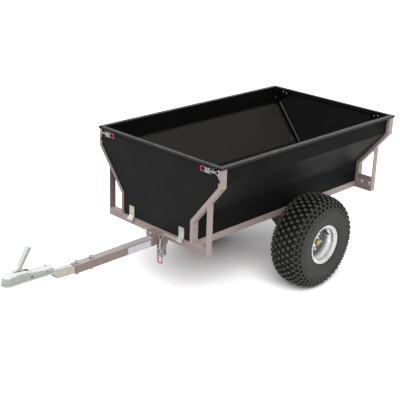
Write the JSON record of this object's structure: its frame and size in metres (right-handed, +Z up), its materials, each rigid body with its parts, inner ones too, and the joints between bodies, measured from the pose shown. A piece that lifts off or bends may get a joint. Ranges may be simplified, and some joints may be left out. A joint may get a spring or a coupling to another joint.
{
  "type": "all-terrain vehicle trailer",
  "caption": "Off-road trailer with a flared steel tub on a two-wheeled axle, hinged front and rear gates with toggle latches, a tipping box and a ball coupling drawbar.",
  "frame": {"origin": "centre of the trailer's footprint, on the ground under its tyres", "axes": "+X forward to the coupling, +Y to the left, +Z up"},
  "size_m": [2.5184, 1.0736, 0.926],
  "materials": {
    "frame_paint": "semi-gloss taupe metallic paint",
    "black_sheet": "semi-gloss black powder coat",
    "rim_grey": "satin dark grey paint",
    "zinc": "bright zinc plate",
    "rubber": "matt rubber",
    "silver_paint": "silver paint",
    "yellow_zinc": "yellow zinc plated steel"
  },
  "bodies": {
    "chassis": {"drawbar": "frame_paint", "extension_channel": "zinc", "axle": "frame_paint", "axle_saddle": "frame_paint", "coupling_body": "zinc", "coupling_bolt": "zinc", "drawbar_bolt_front": "zinc", "drawbar_bolt_rear": "zinc", "lock_bracket": "frame_paint", "tip_latch_bracket": "frame_paint"},
    "box": {"crossmember_front": "frame_paint", "crossmember_rear": "frame_paint", "side_rail_left": "frame_paint", "side_rail_right": "frame_paint", "floor_bearer_front": "frame_paint", "floor_bearer_rear": "frame_paint", "post_fl": "frame_paint", "post_fr": "frame_paint", "post_rl": "frame_paint", "post_rr": "frame_paint", "axle_plate_left": "frame_paint", "axle_plate_right": "frame_paint", "floor": "black_sheet", "side_wall_left": "black_sheet", "side_wall_right": "black_sheet", "side_rim_left": "rim_grey", "side_rim_right": "rim_grey"},
    "front_gate_body": {"front_gate": "black_sheet", "front_gate_rim": "rim_grey", "front_gate_strap_left": "zinc", "front_gate_strap_right": "zinc", "front_latch_plate_left": "zinc", "front_latch_plate_right": "zinc"},
    "rear_gate_body": {"rear_gate": "black_sheet", "rear_gate_rim": "rim_grey", "rear_gate_strap_left": "zinc", "rear_gate_strap_right": "zinc", "rear_latch_plate_left": "zinc", "rear_latch_plate_right": "zinc"},
    "wheel_left": {"tyre_left": "rubber", "wheel_rim_left": "silver_paint", "hub_left": "yellow_zinc"},
    "wheel_right": {"tyre_right": "rubber", "wheel_rim_right": "silver_paint", "hub_right": "yellow_zinc"},
    "front_latch_left_lever_body": {"front_latch_left_lever": "zinc"},
    "front_latch_left_loop_body": {"front_latch_left_loop": "zinc"},
    "front_latch_right_lever_body": {"front_latch_right_lever": "zinc"},
    "front_latch_right_loop_body": {"front_latch_right_loop": "zinc"},
    "rear_latch_left_lever_body": {"rear_latch_left_lever": "zinc"},
    "rear_latch_left_loop_body": {"rear_latch_left_loop": "zinc"},
    "rear_latch_right_lever_body": {"rear_latch_right_lever": "zinc"},
    "rear_latch_right_loop_body": {"rear_latch_right_loop": "zinc"},
    "tip_latch_lever_body": {"tip_latch_lever": "zinc"},
    "tip_latch_loop_body": {"tip_latch_loop": "zinc"},
    "handle": {"coupling_handle": "zinc"},
    "jaw": {"coupling_jaw": "zinc"},
    "lock": {"lock_pin": "zinc", "lock_spring": "zinc"}
  },
  "joints": [
    {"name": "box_tip", "type": "hinge", "parent": "chassis", "child": "box", "pos_m": [-0.57385, 0, 0.2795], "axis": [0, -1, 0], "range_deg": [0, 30]},
    {"name": "front_gate_hinge", "type": "hinge", "parent": "box", "child": "front_gate_body", "pos_m": [0.28295, 0, 0.445], "axis": [0, 1, 0], "range_deg": [0, 90]},
    {"name": "rear_gate_hinge", "type": "hinge", "parent": "box", "child": "rear_gate_body", "pos_m": [-1.25065, 0, 0.445], "axis": [0, -1, 0], "range_deg": [0, 140]},
    {"name": "wheel_left_spin", "type": "hinge", "parent": "chassis", "child": "wheel_left", "pos_m": [-0.57385, 0.426, 0.2795], "axis": [0, 1, 0], "continuous": true},
    {"name": "wheel_right_spin", "type": "hinge", "parent": "chassis", "child": "wheel_right", "pos_m": [-0.57385, -0.426, 0.2795], "axis": [0, 1, 0], "continuous": true},
    {"name": "front_latch_left_lever_turn", "type": "hinge", "parent": "front_gate_body", "child": "front_latch_left_lever_body", "pos_m": [0.28015, 0.41, 0.896], "axis": [0, 0, 1], "range_deg": [0, 120]},
    {"name": "front_latch_left_loop_turn", "type": "hinge", "parent": "front_latch_left_lever_body", "child": "front_latch_left_loop_body", "pos_m": [0.28715, 0.395, 0.896], "axis": [0, 0, 1], "range_deg": [-120, 0]},
    {"name": "front_latch_right_lever_turn", "type": "hinge", "parent": "front_gate_body", "child": "front_latch_right_lever_body", "pos_m": [0.28015, -0.41, 0.896], "axis": [0, 0, -1], "range_deg": [0, 120]},
    {"name": "front_latch_right_loop_turn", "type": "hinge", "parent": "front_latch_right_lever_body", "child": "front_latch_right_loop_body", "pos_m": [0.28715, -0.395, 0.896], "axis": [0, 0, -1], "range_deg": [-120, 0]},
    {"name": "rear_latch_left_lever_turn", "type": "hinge", "parent": "rear_gate_body", "child": "rear_latch_left_lever_body", "pos_m": [-1.24785, 0.41, 0.896], "axis": [0, 0, -1], "range_deg": [0, 120]},
    {"name": "rear_latch_left_loop_turn", "type": "hinge", "parent": "rear_latch_left_lever_body", "child": "rear_latch_left_loop_body", "pos_m": [-1.25485, 0.395, 0.896], "axis": [0, 0, -1], "range_deg": [-120, 0]},
    {"name": "rear_latch_right_lever_turn", "type": "hinge", "parent": "rear_gate_body", "child": "rear_latch_right_lever_body", "pos_m": [-1.24785, -0.41, 0.896], "axis": [0, 0, 1], "range_deg": [0, 120]},
    {"name": "rear_latch_right_loop_turn", "type": "hinge", "parent": "rear_latch_right_lever_body", "child": "rear_latch_right_loop_body", "pos_m": [-1.25485, -0.395, 0.896], "axis": [0, 0, 1], "range_deg": [-120, 0]},
    {"name": "tip_latch_lever_turn", "type": "hinge", "parent": "chassis", "child": "tip_latch_lever_body", "pos_m": [0.28435, 0.055, 0.36178], "axis": [0, -1, 0], "range_deg": [0, 120]},
    {"name": "tip_latch_loop_turn", "type": "hinge", "parent": "tip_latch_lever_body", "child": "tip_latch_loop_body", "pos_m": [0.2938, 0.055, 0.34153], "axis": [0, -1, 0], "range_deg": [-120, 0]},
    {"name": "handle_turn", "type": "hinge", "parent": "chassis", "child": "handle", "pos_m": [1.14215, 0, 0.4538], "axis": [0, -1, 0], "range_deg": [0, 50]},
    {"name": "jaw_turn", "type": "hinge", "parent": "chassis", "child": "jaw", "pos_m": [1.18765, 0, 0.448], "axis": [0, -1, 0], "range_deg": [0, 10]},
    {"name": "lock_pin_slide", "type": "slide", "parent": "chassis", "child": "lock", "axis": [0, 1, 0], "range_m": [-0.022, 0], "stiffness_N_per_m": 800, "springref_m": 0.004, "deforming": ["lock_spring"]}
  ],
  "couplings": [
    {"joint": "front_latch_left_loop_turn", "follows": "front_latch_left_lever_turn", "ratio": -1},
    {"joint": "front_latch_right_loop_turn", "follows": "front_latch_right_lever_turn", "ratio": -1},
    {"joint": "rear_latch_left_loop_turn", "follows": "rear_latch_left_lever_turn", "ratio": -1},
    {"joint": "rear_latch_right_loop_turn", "follows": "rear_latch_right_lever_turn", "ratio": -1},
    {"joint": "tip_latch_loop_turn", "follows": "tip_latch_lever_turn", "ratio": -1},
    {"joint": "jaw_turn", "follows": "handle_turn", "ratio": 0.2}
  ]
}
